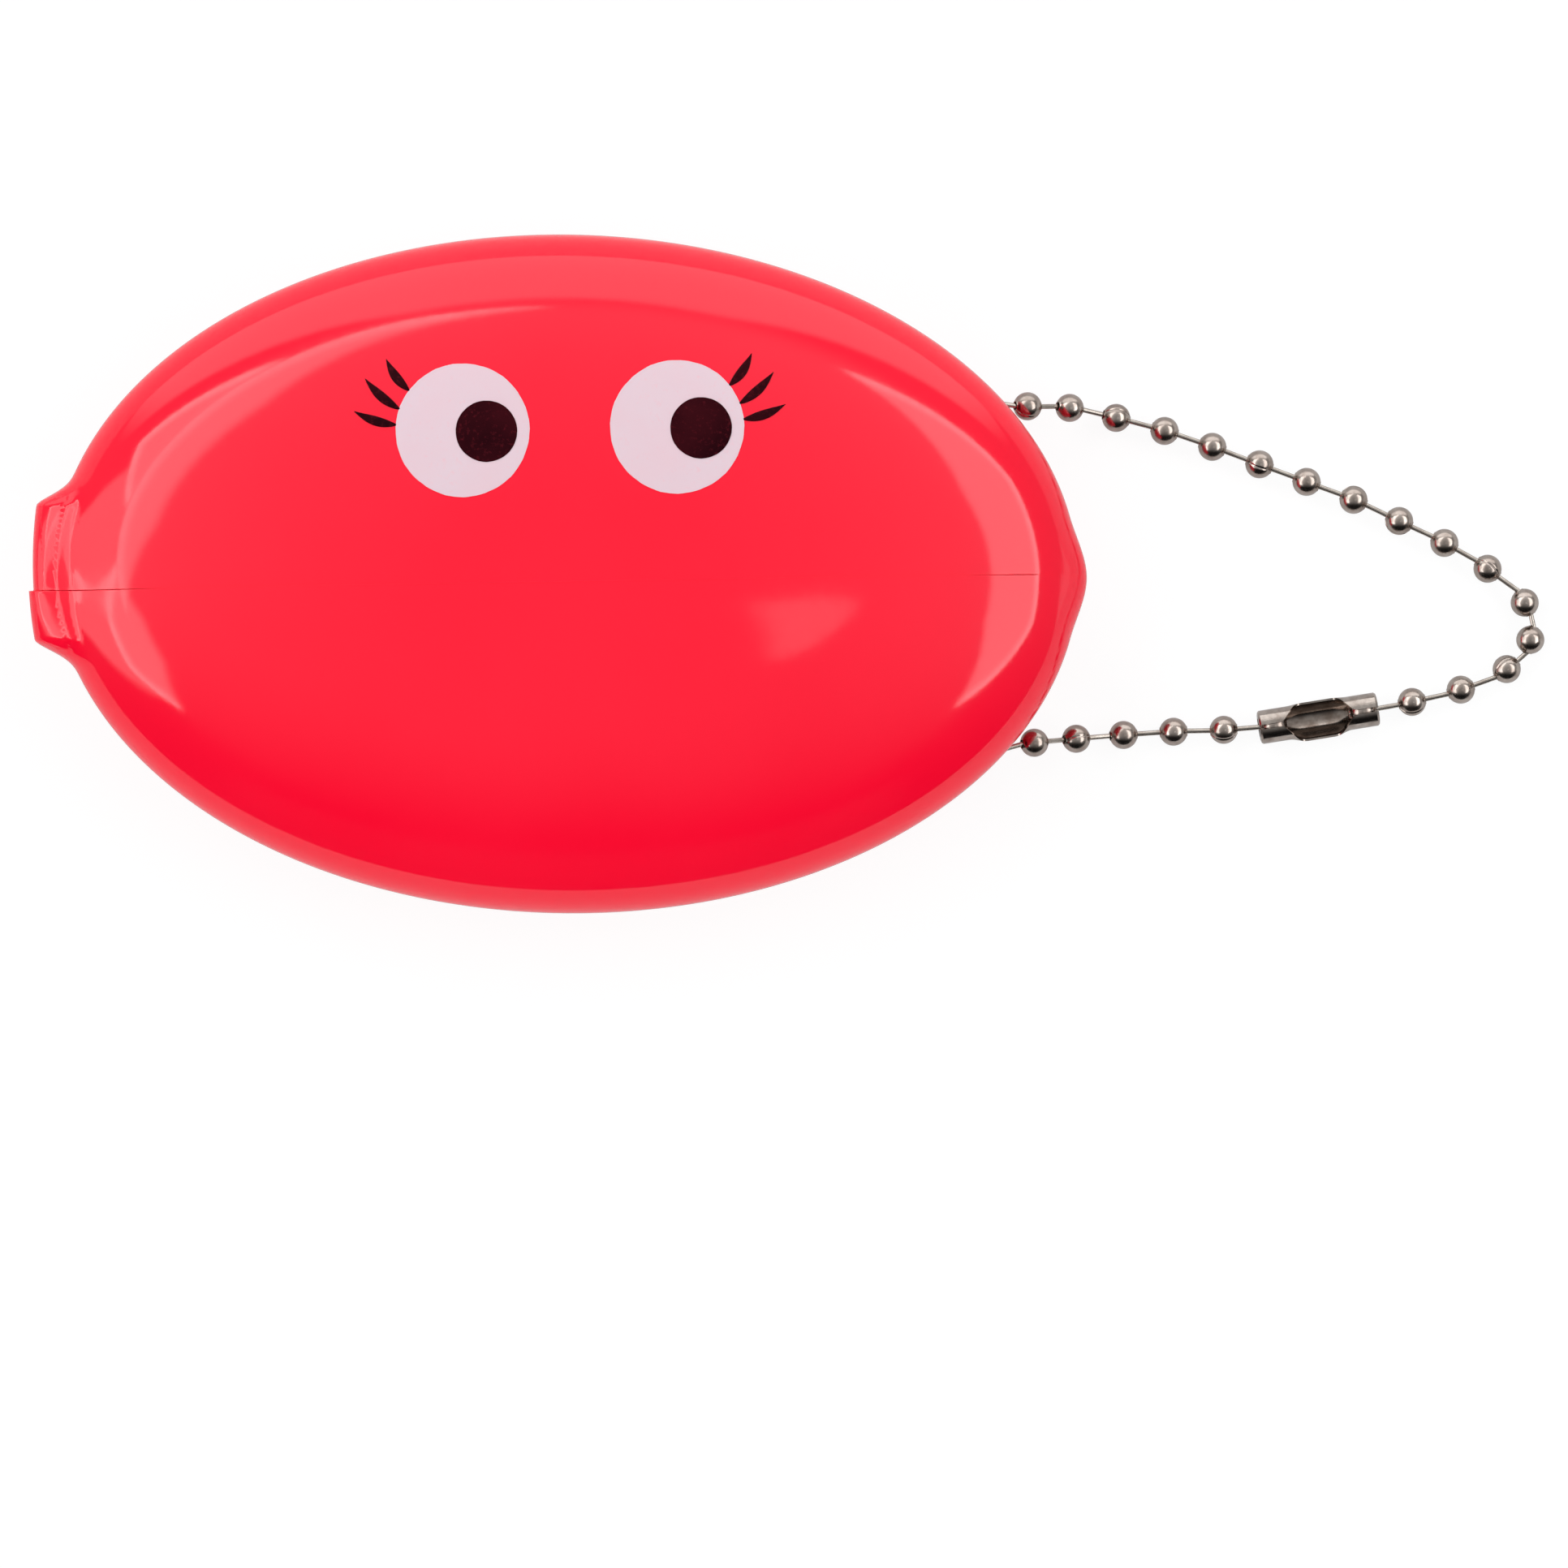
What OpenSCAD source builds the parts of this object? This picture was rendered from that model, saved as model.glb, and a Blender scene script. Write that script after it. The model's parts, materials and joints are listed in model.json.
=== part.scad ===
// Squeeze coin purse: an oval moulded purse with a slit face, a printed pair of eyes and a ball chain loop.
// It lies on its back with the slit up. X runs along the slit towards the chain, Y across it, Z up.
// The origin is on the rest face, under the middle of the oval.

/* [Moulded body] */
// Length of the oval, without the tab and the tip
body_l = 86.5; // [76:0.5:100]
// Width of the oval
body_w = 57.3; // [50:0.1:66]
// Thickness of the closed purse
body_h = 19; // [17:0.5:22]
// Height of the widest line above the rest face
rim_z = 9; // [8:0.5:10]
// Wall of the vinyl moulding
wall = 1.5; // [1.2:0.1:1.8]
// How far the tab stands out at the open end of the slit
tab_out = 1.9; // [0.5:0.1:3]
// Width of the tab
tab_w = 11; // [8:0.5:16]
// How far the point stands out at the chain end
tip_out = 0.7; // [0.2:0.1:1.5]

/* [Slit] */
// Turn of the slit against the oval's long axis, in degrees
slit_slant = 1.84; // [0:0.1:3]
// Place of the slit across the body, at its middle
slit_y = -0.8; // [-2:0.1:2]
// Gap between the closed lips
slit_gap = 0.3; // [0.2:0.05:0.6]
// Where the slit ends before the chain end
slit_end = 40.1; // [38:0.1:41]
// Gap between the lips and the rest of the moulding
seam_gap = 0.2; // [0.15:0.05:0.3]

/* [Printed face] */
// Diameter of a printed eye
eye_d = 11.2; // [8:0.1:13]
// Diameter of a printed pupil
pupil_d = 5.1; // [3:0.1:6]
// Distance between the eyes
eye_spacing = 18.1; // [15:0.1:22]
// Distance of the eyes from the slit
eye_rise = 13; // [11:0.1:14.5]
// Thickness of one layer of ink
ink = 0.12; // [0.08:0.01:0.2]

/* [Ball chain] */
// Diameter of a bead
bead_d = 2.4; // [2.2:0.05:2.6]
// Sheet that a bead is rolled from
bead_wall = 0.2; // [0.15:0.01:0.22]
// Distance from bead to bead
pitch = 4.28; // [4:0.01:4.6]
// Distance from bead to bead in the tight bend, where the links slide into the beads
tight_pitch = 3.2; // [3.1:0.01:3.6]
// Diameter of a link's neck
neck_d = 0.44; // [0.4:0.01:0.48]
// Diameter of a link's round heads
head_d = 0.76; // [0.74:0.01:0.78]
// Diameter of the two holes in a bead
bead_hole_d = 0.68; // [0.66:0.01:0.7]

/* [Hidden] */
$fn = 32;

// The moulding's rounding: a larger number is squarer
face_round = [2.6, 2.2];
back_round = [3.2, 2.6];
belly = 0.6;            // how much of the round back is cut off for the rest face
around = 72;            // points round the oval, closer together at its ends
crowding = 14;
face_rings = 9;
back_rings = 8;
tab_fillet = 1.6;
tab_y = -0.8;
tip_reach = 4;          // half the width of the point
fade_from = 0.8;        // the tab and the point fade out towards the middle of the moulding
far = 200;              // longer than anything here
slit_mid = [0, slit_y];
eyes_mid = 0.63;        // the eyes sit a little towards the chain end
pupil_shift = [2, -0.13];
ink_lift = 0.04;        // keeps the print off the flat facets of the moulding
// Each lash: where it starts and ends round the eye, in degrees, and how far out its end is
lashes = [[37.5, 44, 8.8], [19.5, 29, 9.3], [5.5, 11, 9.25]];
lash_w = 0.65;
lash_gap = 0.06;        // between the eye and the foot of a lash
lash_bow = 0.2;         // how far a lash bends out of its straight line
// The form of a lash: a share of its length and the share of its width there
lash_form = [[0, 0.2], [0.2, 0.75], [0.45, 1], [0.75, 0.7], [1, 0.08]];

bead_r = bead_d / 2;
pivot_r = bead_r - bead_wall / 2;      // a link tilts in the middle of a bead's wall
head_back = 0.66;                      // from that pivot to the middle of the head
wall_hole_d = bead_d + 0.3;
wall_hole_l = 8;
connector_r = 1.45;
connector_wall = 0.2;
// Heading and slope of each stretch from bead to bead, in degrees, from the wall outwards
long_headings = [0, 0, -10.5, -14, -17.5, -19.5, -19.5, -20, -24, -25, -30, -41.5,
                 -80.5, -128, -155, -165, -168.5];
short_headings = [8, 6.4, 5.5, 4.7, 3, 6];
drop = [-14, -32, -18, -3];
cup_rise = asin((connector_r - bead_r) / pitch);
long_start = [34.65, 14.9];
short_start = [35.71, -14.18];
tight = [12, 13];                      // the stretches of the tight bend
inner_links_n = 9;
inner_tilt = 5;                        // the chain inside hangs down by this angle

function unit(v) = v / norm(v);
function smooth(u) = let (c = min(1, max(0, u))) c * c * (3 - 2 * c);
function total(v, n) = n < 0 ? [0, 0, 0] : v[n] + total(v, n - 1);
function pad(n) = n < 10 ? str("0", n) : str(n);

// The oval and the moulding
function end_bump(x, y) = x > 0
    ? tip_out * smooth(1 - abs(y) / tip_reach)
    : -tab_out * smooth((tab_w / 2 + tab_fillet - abs(y - tab_y)) / tab_fillet);
function oval(t, inset, k) = let (
    x = (body_l / 2 - inset) * cos(t),
    y = (body_w / 2 - inset) * sin(t),
    ends = inset > 0 ? 0 : smooth((k - fade_from) / (1 - fade_from)))
    [x + ends * end_bump(x, y), y];
function ring(mid, k, z, inset) = [for (j = [0:around - 1]) let (
    u = 360 * j / around,
    p = mid + k * (oval(u - crowding * sin(2 * u), inset, k) - mid))
    [p[0], p[1], z]];
// Both halves of the moulding are domes: k goes from 1 at the rim to 0 in the middle
function dome_k(a, round) = pow(cos(a), 2 / round[0]);
function dome_z(a, round) = pow(sin(a), 2 / round[1]);
function face_h(inset) = body_h - rim_z - inset;
function back_h(inset) = inset > 0 ? rim_z - inset : rim_z + belly;

// How high the face is over a point of the plan, for what is printed on it
function face_k(p) = let (
    size = [body_l / 2, body_w / 2],
    q = [(p[0] - slit_mid[0]) / size[0], (p[1] - slit_mid[1]) / size[1]],
    m = [slit_mid[0] / size[0], slit_mid[1] / size[1]],
    b = m * q)
    norm(q) == 0 ? 0 : (q * q) / (-b + sqrt(b * b - (q * q) * (m * m - 1)));
function face_z(p) = rim_z + seam_gap / 2
    + face_h(0) * pow(1 - pow(face_k(p), face_round[0]), 1 / face_round[1]);

// The chain's beads, from the one held in the wall
function steps(headings, n) = [for (i = [0:n - 1]) let (
    slope = i < len(drop) ? drop[i] : (i == n - 1 ? cup_rise : 0),
    length = len([for (s = tight) if (s == i) s]) ? tight_pitch : pitch)
    length * [cos(slope) * cos(headings[i]), cos(slope) * sin(headings[i]), sin(slope)]];
function strand(start, headings) = let (
    n = len(headings),
    s = steps(headings, n),
    z = connector_r - total(s, n - 1)[2])
    [for (i = [0:n]) [start[0], start[1], z] + total(s, i - 1)];
long_beads = strand(long_start, long_headings);
short_beads = strand(short_start, short_headings);
last_long = len(long_beads) - 1;
last_short = len(short_beads) - 1;

// The chain inside hangs on an arc between the two beads held in the wall
chord = short_beads[0] - long_beads[0];
function half_turn(lo, hi, n) = let (mid = (lo + hi) / 2) n == 0 ? mid
    : sin(inner_links_n * mid) / sin(mid) > norm(chord) / pitch ? half_turn(mid, hi, n - 1)
    : half_turn(lo, mid, n - 1);
inner_half = half_turn(0.1, 170 / inner_links_n, 40);
inner_r = pitch / 2 / sin(inner_half);
inner_across = unit(chord);
inner_down = let (v = [-cos(inner_tilt), 0, -sin(inner_tilt)]) unit(v - (v * inner_across) * inner_across);
inner_beads_at = [for (i = [0:inner_links_n]) let (a = inner_half * (2 * i - inner_links_n))
    (long_beads[0] + short_beads[0]) / 2 + inner_across * inner_r * sin(a)
    + inner_down * inner_r * (cos(a) - cos(inner_half * inner_links_n))];

// A bead's holes point halfway between its neighbours
function through(before, at, after) = unit(unit(at - before) + unit(after - at));
function directions(beads, before, after) = [for (i = [0:len(beads) - 1])
    through(i == 0 ? before : beads[i - 1], beads[i], i == len(beads) - 1 ? after : beads[i + 1])];
long_dirs = directions(long_beads, inner_beads_at[1], short_beads[last_short]);
short_dirs = directions(short_beads, inner_beads_at[inner_links_n - 1], long_beads[last_long]);
inner_dirs = [for (i = [0:inner_links_n]) i == 0 ? -long_dirs[0] : i == inner_links_n ? short_dirs[0]
    : through(inner_beads_at[i - 1], inner_beads_at[i], inner_beads_at[i + 1])];

long_n = [for (i = [1:last_long]) i];
short_n = [for (i = [1:last_short]) i];

vinyl = [1, 0.2, 0.28];
nickel = [0.42, 0.4, 0.38];

module along(at, dir) {
    translate(at) rotate([0, acos(dir[2]), atan2(dir[1], dir[0])]) children();
}

// A closed solid of the moulding's outer form, or of its hollow
module form(inset) {
    rings = concat(
        [for (i = [face_rings - 1:-1:1]) let (a = 90 * i / face_rings)
            ring(slit_mid, dome_k(a, face_round), rim_z + face_h(inset) * dome_z(a, face_round), inset)],
        [ring([0, 0], 1, rim_z, inset)],
        [for (i = [1:back_rings - 1]) let (a = 90 * i / back_rings)
            ring([0, 0], dome_k(a, back_round), rim_z - back_h(inset) * dome_z(a, back_round), inset)]);
    n = len(rings);
    top = n * around;
    bottom = top + 1;
    function id(i, j) = i * around + j % around;
    points = concat([for (r = rings) for (p = r) p],
        [[slit_mid[0], slit_mid[1], rim_z + face_h(inset)], [0, 0, rim_z - back_h(inset)]]);
    faces = concat(
        [for (j = [0:around - 1]) [top, id(0, j + 1), id(0, j)]],
        [for (i = [0:n - 2]) for (j = [0:around - 1]) for (f = [
            [id(i, j), id(i, j + 1), id(i + 1, j + 1)],
            [id(i, j), id(i + 1, j + 1), id(i + 1, j)]]) f],
        [for (j = [0:around - 1]) [bottom, id(n - 1, j), id(n - 1, j + 1)]]);
    polyhedron(points, faces, convexity = 4);
}

module moulding() {
    difference() {
        form(0);
        form(wall);
        translate([-far / 2, -far / 2, -far]) cube(far);
    }
}

module wall_hole(at, dir) {
    along(at, dir) cylinder(h = wall_hole_l, d = wall_hole_d, center = true);
}

module back_shell() {
    color(vinyl) difference() {
        moulding();
        translate([slit_end - far, -far / 2, rim_z - seam_gap / 2]) cube(far);
        wall_hole(long_beads[0], unit(long_beads[1] - long_beads[0]));
        wall_hole(short_beads[0], unit(short_beads[1] - short_beads[0]));
    }
}

// side is 1 for the printed lip and -1 for the plain one
module lip(side) {
    color(vinyl) intersection() {
        moulding();
        translate(concat(slit_mid, 0)) rotate(slit_slant)
            translate([-far / 2, side > 0 ? slit_gap / 2 : -slit_gap / 2 - far, 0]) cube(far);
        translate([slit_end - seam_gap - far, -far / 2, rim_z + seam_gap / 2]) cube(far);
    }
}

// A flat outline laid on the face, given as rings of plan points that shrink to the middle
module printed(rings, middle, lift) {
    n = len(rings);
    m = len(rings[0]);
    layer = n * m + 1;
    function id(i, j) = i * m + j % m;
    function place(p, up) = let (q = on_face(p)) [q[0], q[1], face_z(q) + up];
    sheet = concat([for (r = rings) for (p = r) p], [middle]);
    points = concat([for (p = sheet) place(p, lift + ink)], [for (p = sheet) place(p, lift)]);
    upper = concat(
        [for (i = [0:1:n - 2]) for (j = [0:m - 1]) for (f = [
            [id(i, j), id(i + 1, j), id(i + 1, j + 1)],
            [id(i, j), id(i + 1, j + 1), id(i, j + 1)]]) f],
        [for (j = [0:m - 1]) [id(n - 1, j), layer - 1, id(n - 1, j + 1)]]);
    lower = [for (f = upper) [f[2] + layer, f[1] + layer, f[0] + layer]];
    edge = [for (j = [0:m - 1]) for (f = [
        [id(0, j), id(0, j + 1), id(0, j + 1) + layer],
        [id(0, j), id(0, j + 1) + layer, id(0, j) + layer]]) f];
    polyhedron(points, concat(upper, lower, edge), convexity = 2);
}

// From the print's own plan, along and across the slit, to the plan of the purse
function on_face(p) = slit_mid + [
    p[0] * cos(slit_slant) - p[1] * sin(slit_slant),
    p[0] * sin(slit_slant) + p[1] * cos(slit_slant)];
function eye_at(side) = [eyes_mid + side * eye_spacing / 2, eye_rise];
function disc(mid, d, n, m) = [for (i = [0:n - 1]) [for (j = [0:m - 1])
    mid + d / 2 * (1 - i / n) * [cos(360 * j / m), sin(360 * j / m)]]];
function leaf(from, to, bow) = let (
    d = unit(to - from),
    across = [-d[1], d[0]],
    last = len(lash_form) - 1)
    [for (side = [-1, 1]) for (i = [0:last]) let (v = lash_form[side < 0 ? i : last - i])
        from + v[0] * (to - from) + (4 * bow * v[0] * (1 - v[0]) + side * v[1] * lash_w / 2) * across];

module eye(side) {
    color("white") printed(disc(eye_at(side), eye_d, 5, 36), eye_at(side), ink_lift);
}

module pupil(side) {
    mid = eye_at(side) + pupil_shift;
    color([0.1, 0.05, 0.07]) printed(disc(mid, pupil_d, 3, 24), mid, 2 * ink_lift + ink);
}

module eye_lashes(side) {
    color([0.1, 0.05, 0.07]) for (l = lashes) {
        from = eye_at(side) + (eye_d / 2 + lash_gap) * [side * cos(l[0]), sin(l[0])];
        to = eye_at(side) + l[2] * [side * cos(l[1]), sin(l[1])];
        printed([leaf(from, to, -side * lash_bow)], (from + to) / 2, ink_lift);
    }
}

module bead(at, dir) {
    color(nickel) along(at, dir) difference() {
        sphere(r = bead_r);
        sphere(r = bead_r - bead_wall);
        cylinder(h = 2 * bead_d, d = bead_hole_d, center = true);
    }
}

// A link from the pivot in one bead's wall to the pivot in the next bead's wall
module link(from, from_dir, to, to_dir) {
    a = from + from_dir * pivot_r;
    b = to - to_dir * pivot_r;
    color(nickel) along(a, unit(b - a)) {
        translate([0, 0, -head_back]) {
            cylinder(h = norm(b - a) + 2 * head_back, d = neck_d);
            sphere(d = head_d);
            translate([0, 0, norm(b - a) + 2 * head_back]) sphere(d = head_d);
        }
    }
}

module wall_beads() {
    bead(long_beads[0], long_dirs[0]);
    bead(short_beads[0], short_dirs[0]);
}

module inner_beads() {
    for (i = [1:inner_links_n - 1]) bead(inner_beads_at[i], inner_dirs[i]);
}

module inner_links() {
    for (i = [0:inner_links_n - 1])
        link(inner_beads_at[i], inner_dirs[i], inner_beads_at[i + 1], inner_dirs[i + 1]);
}

// A rolled sleeve with an open window on top, and a narrow end that holds a bead on each side
module connector() {
    end_face = 1.1;             // from a held bead to the inside of the end
    mouth_d = 1.6;
    window_l = 5.5;
    window_rise = 0.3;          // the window is cut down to this height over the sleeve's axis
    slot_w = 0.4;
    flare = 0.28;               // the window's long edges are bent out by this much, and at this angle
    flare_turn = 25;
    flare_root = 0.2;           // how much of a bent edge lies in the sleeve's wall
    held = long_beads[last_long] - short_beads[last_short];
    length = norm(held) + 2 * (end_face + connector_wall);
    mid = (long_beads[last_long] + short_beads[last_short]) / 2;
    color(nickel) translate(mid) rotate(atan2(held[1], held[0])) rotate([0, 90, 0]) {
        difference() {
            cylinder(h = length, r = connector_r, center = true);
            cylinder(h = length - 2 * connector_wall, r = connector_r - connector_wall, center = true);
            cylinder(h = 2 * length, d = mouth_d, center = true);
            translate([-far - window_rise, -far / 2, -window_l / 2]) cube([far, far, window_l]);
            translate([-far, -slot_w / 2, -far / 2]) cube([far, slot_w, far]);
        }
        for (s = [-1, 1])
            translate([-window_rise, s * (connector_r - connector_wall / 2), 0]) rotate(-s * flare_turn)
                translate([-flare - flare_root, -connector_wall / 2, -window_l / 2])
                    cube([flare + flare_root, connector_wall, window_l]);
    }
}

back_shell();
lip(1);  // upper_lip
lip(-1);  // lower_lip
eye(-1);  // left_eye
eye(1);  // right_eye
pupil(-1);  // left_pupil
pupil(1);  // right_pupil
eye_lashes(-1);  // left_lashes
eye_lashes(1);  // right_lashes
wall_beads();
inner_beads();
inner_links();
connector();
for (i = long_n) {
    bead(long_beads[i], long_dirs[i]);
    link(long_beads[i - 1], long_dirs[i - 1], long_beads[i], long_dirs[i]);
}
for (i = short_n) {
    bead(short_beads[i], short_dirs[i]);
    link(short_beads[i - 1], short_dirs[i - 1], short_beads[i], short_dirs[i]);
}
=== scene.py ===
import json
import math

import bmesh
import bpy
import numpy as np
from mathutils import Matrix, Vector

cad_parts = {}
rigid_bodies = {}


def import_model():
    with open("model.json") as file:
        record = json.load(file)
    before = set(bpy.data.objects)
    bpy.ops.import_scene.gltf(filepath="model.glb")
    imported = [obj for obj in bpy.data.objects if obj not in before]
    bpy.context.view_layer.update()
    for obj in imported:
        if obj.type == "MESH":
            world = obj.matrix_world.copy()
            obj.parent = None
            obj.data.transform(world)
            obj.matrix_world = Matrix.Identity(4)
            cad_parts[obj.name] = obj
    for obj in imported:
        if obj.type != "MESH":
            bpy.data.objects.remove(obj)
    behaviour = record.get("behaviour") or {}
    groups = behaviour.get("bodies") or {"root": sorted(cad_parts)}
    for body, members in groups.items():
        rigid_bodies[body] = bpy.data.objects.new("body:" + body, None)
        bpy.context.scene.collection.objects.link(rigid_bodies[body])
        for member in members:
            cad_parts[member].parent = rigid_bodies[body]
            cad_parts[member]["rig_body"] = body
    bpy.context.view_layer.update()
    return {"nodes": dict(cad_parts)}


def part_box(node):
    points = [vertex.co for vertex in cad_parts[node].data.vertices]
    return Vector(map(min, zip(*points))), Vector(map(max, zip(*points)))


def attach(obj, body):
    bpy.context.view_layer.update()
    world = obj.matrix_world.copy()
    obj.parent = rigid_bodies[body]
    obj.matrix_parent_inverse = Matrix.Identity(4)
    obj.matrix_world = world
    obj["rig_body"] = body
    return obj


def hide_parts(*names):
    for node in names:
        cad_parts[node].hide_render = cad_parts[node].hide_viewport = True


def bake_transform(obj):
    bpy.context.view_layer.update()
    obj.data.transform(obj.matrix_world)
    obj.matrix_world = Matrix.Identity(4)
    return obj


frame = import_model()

print("Coin purse: frame loaded, " + str(len(frame["nodes"])) + " nodes")

mm = 0.001  # the pieces are worked out in millimetres


def smooth(value):
    value = np.clip(value, 0.0, 1.0)
    return value * value * (3.0 - 2.0 * value)


def unit(vector):
    return vector / np.linalg.norm(vector)


# Camera: straight down, turned by the little that the photographed purse is turned

cameraSettings = {
    "aim": (18.67, -17.43, 9.0),
    "distance": 900.0,
    "frameWidth": 132.3,   # what the picture spans at the aim's height
    "turn": 0.9,
}


def placeCamera():
    data = bpy.data.cameras.new("camera")
    camera = bpy.data.objects.new("camera", data)
    bpy.context.scene.collection.objects.link(camera)
    aim = Vector(cameraSettings["aim"]) * mm
    camera.location = aim + Vector((0, 0, cameraSettings["distance"] * mm))
    camera.rotation_euler = (0, 0, math.radians(cameraSettings["turn"]))
    data.lens = data.sensor_width * cameraSettings["distance"] / cameraSettings["frameWidth"]
    data.clip_start = 0.05
    data.clip_end = 20
    bpy.context.scene.camera = camera


placeCamera()
print("Camera placed")


# Shader node groups and materials

def newGroup(name, inputs, outputs):
    group = bpy.data.node_groups.new(name, "ShaderNodeTree")
    for label, kind, value in inputs:
        socket = group.interface.new_socket(label, in_out="INPUT", socket_type=kind)
        socket.default_value = value
    for label, kind in outputs:
        group.interface.new_socket(label, in_out="OUTPUT", socket_type=kind)
    start = group.nodes.new("NodeGroupInput")
    end = group.nodes.new("NodeGroupOutput")
    return group, start, end


def feed(tree, socket, value):
    # a socket takes another node's output or a plain value
    if isinstance(value, bpy.types.NodeSocket):
        tree.links.new(value, socket)
    else:
        socket.default_value = value


def mixColour(tree, factor, first, second):
    mix = tree.nodes.new("ShaderNodeMix")
    mix.data_type = "RGBA"
    for socket, value in ((mix.inputs[0], factor), (mix.inputs[6], first), (mix.inputs[7], second)):
        feed(tree, socket, value)
    return mix.outputs[2]


def ramp(tree, value, low, high, toLow=0.0, toHigh=1.0, eased=False):
    node = tree.nodes.new("ShaderNodeMapRange")
    node.interpolation_type = "SMOOTHSTEP" if eased else "LINEAR"
    for label, given in (("Value", value), ("From Min", low), ("From Max", high),
                         ("To Min", toLow), ("To Max", toHigh)):
        feed(tree, node.inputs[label], given)
    return node.outputs[0]


def calc(tree, operation, *values):
    node = tree.nodes.new("ShaderNodeMath")
    node.operation = operation
    for socket, value in zip(node.inputs, values):
        feed(tree, socket, value)
    return node.outputs[0]


def noise(tree, scale, detail=2.0, roughness=0.5):
    place = tree.nodes.new("ShaderNodeTexCoord")
    node = tree.nodes.new("ShaderNodeTexNoise")
    node.inputs["Detail"].default_value = detail
    node.inputs["Roughness"].default_value = roughness
    feed(tree, node.inputs["Scale"], scale)
    tree.links.new(place.outputs["Object"], node.inputs["Vector"])
    return node.outputs["Fac"]


def buildSurfaceGroup():
    # patches of two tones and two roughnesses, and a height for fine relief
    group, start, end = newGroup(
        "surfaceTone",
        [("Tone A", "NodeSocketColor", (1, 1, 1, 1)), ("Tone B", "NodeSocketColor", (1, 1, 1, 1)),
         ("Patch Scale", "NodeSocketFloat", 60.0), ("Grain Scale", "NodeSocketFloat", 1500.0),
         ("Smoothest", "NodeSocketFloat", 0.1), ("Roughest", "NodeSocketFloat", 0.2)],
        [("Color", "NodeSocketColor"), ("Roughness", "NodeSocketFloat"), ("Height", "NodeSocketFloat")])
    patches = noise(group, start.outputs["Patch Scale"], 3.0)
    grain = noise(group, start.outputs["Grain Scale"], 3.0, 0.6)
    share = ramp(group, patches, 0.35, 0.65)
    colour = mixColour(group, share, start.outputs["Tone A"], start.outputs["Tone B"])
    rough = ramp(group, grain, 0.3, 0.7, start.outputs["Smoothest"], start.outputs["Roughest"])
    group.links.new(colour, end.inputs["Color"])
    group.links.new(rough, end.inputs["Roughness"])
    group.links.new(grain, end.inputs["Height"])
    return group


def buildInkGroup():
    # screen-printed ink: pinholes and a fine grain through which the vinyl shows
    group, start, end = newGroup(
        "inkCover",
        [("Ink", "NodeSocketColor", (1, 1, 1, 1)), ("Under", "NodeSocketColor", (1, 0, 0, 1)),
         ("Thin", "NodeSocketFloat", 0.3), ("Grain Scale", "NodeSocketFloat", 2600.0)],
        [("Color", "NodeSocketColor"), ("Height", "NodeSocketFloat")])
    grain = noise(group, start.outputs["Grain Scale"], 4.0, 0.7)
    cloud = noise(group, 260.0, 2.0)
    holes = ramp(group, grain, 0.52, 0.76, 0.0, start.outputs["Thin"])
    veil = ramp(group, cloud, 0.3, 0.75, 0.0, 0.1)
    bare = calc(group, "MAXIMUM", holes, veil)
    colour = mixColour(group, bare, start.outputs["Ink"], start.outputs["Under"])
    group.links.new(colour, end.inputs["Color"])
    group.links.new(grain, end.inputs["Height"])
    return group


def buildMetalGroup():
    # plated metal: tarnish in patches, which are the rougher ones too, and a height for fine scratches
    group, start, end = newGroup(
        "platedMetal",
        [("Plate", "NodeSocketColor", (0.5, 0.5, 0.5, 1)),
         ("Tarnish", "NodeSocketColor", (0.2, 0.2, 0.2, 1)),
         ("Smoothest", "NodeSocketFloat", 0.1), ("Roughest", "NodeSocketFloat", 0.3)],
        [("Color", "NodeSocketColor"), ("Roughness", "NodeSocketFloat"), ("Height", "NodeSocketFloat")])
    patches = noise(group, 900.0, 4.0, 0.6)
    scratches = noise(group, 5200.0, 2.0)
    share = ramp(group, patches, 0.35, 0.68)
    colour = mixColour(group, share, start.outputs["Plate"], start.outputs["Tarnish"])
    rough = ramp(group, patches, 0.3, 0.7, start.outputs["Smoothest"], start.outputs["Roughest"])
    group.links.new(colour, end.inputs["Color"])
    group.links.new(rough, end.inputs["Roughness"])
    group.links.new(scratches, end.inputs["Height"])
    return group


surfaceGroup = buildSurfaceGroup()
inkGroup = buildInkGroup()
metalGroup = buildMetalGroup()


def groupMaterial(name, group, values, constants, bump):
    material = bpy.data.materials.new(name)
    material.use_nodes = True
    tree = material.node_tree
    shader = tree.nodes["Principled BSDF"]
    effect = tree.nodes.new("ShaderNodeGroup")
    effect.node_tree = group
    for label, value in values.items():
        effect.inputs[label].default_value = value
    tree.links.new(effect.outputs["Color"], shader.inputs["Base Color"])
    if "Roughness" in effect.outputs:
        tree.links.new(effect.outputs["Roughness"], shader.inputs["Roughness"])
    for label, value in constants.items():
        shader.inputs[label].default_value = value
    relief = tree.nodes.new("ShaderNodeBump")
    relief.inputs["Strength"].default_value = bump["strength"]
    relief.inputs["Distance"].default_value = bump["depth"] * mm
    tree.links.new(effect.outputs["Height"], relief.inputs["Height"])
    tree.links.new(relief.outputs["Normal"], shader.inputs["Normal"])
    return material


# each finish: the group's values, the shader's own values, and the relief's strength and depth (mm)

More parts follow.
